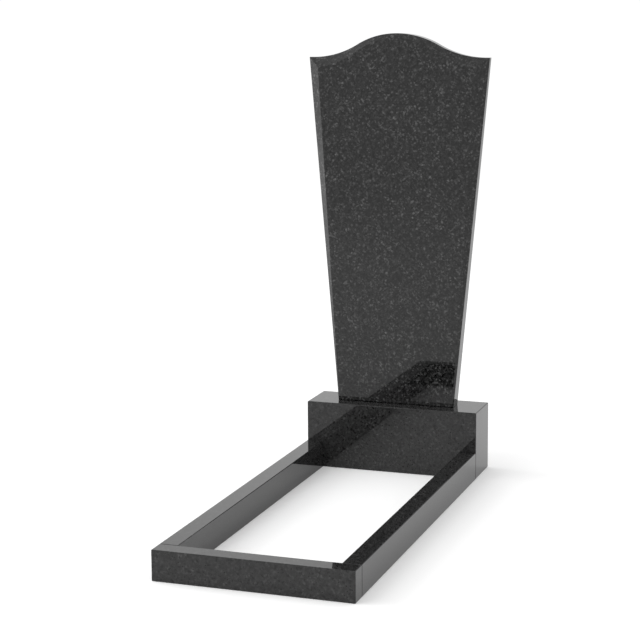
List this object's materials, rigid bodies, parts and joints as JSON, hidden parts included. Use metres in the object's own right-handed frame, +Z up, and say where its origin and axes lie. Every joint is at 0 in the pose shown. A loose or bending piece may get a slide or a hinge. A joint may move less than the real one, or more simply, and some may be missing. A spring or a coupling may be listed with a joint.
{
  "type": "headstone",
  "caption": "Polished dark granite headstone: a tapering stele with a domed top and bevelled front, on a plinth block behind a low open bed frame.",
  "frame": {"origin": "on the ground, under the middle of the whole: midway between the front rail's face and the stand's back, on the axis of the stele", "axes": "+Z up; -Y the front, where the bed lies; +X to the right of someone facing the front of the stele"},
  "size_m": [0.55, 1.28, 1.3003],
  "materials": {
    "granite": "dark grey to black granite with fine pale speckles, polished"
  },
  "bodies": {
    "root": {"stele": "granite", "stand": "granite", "front_rail": "granite", "left_rail": "granite", "right_rail": "granite"}
  },
  "joints": []
}
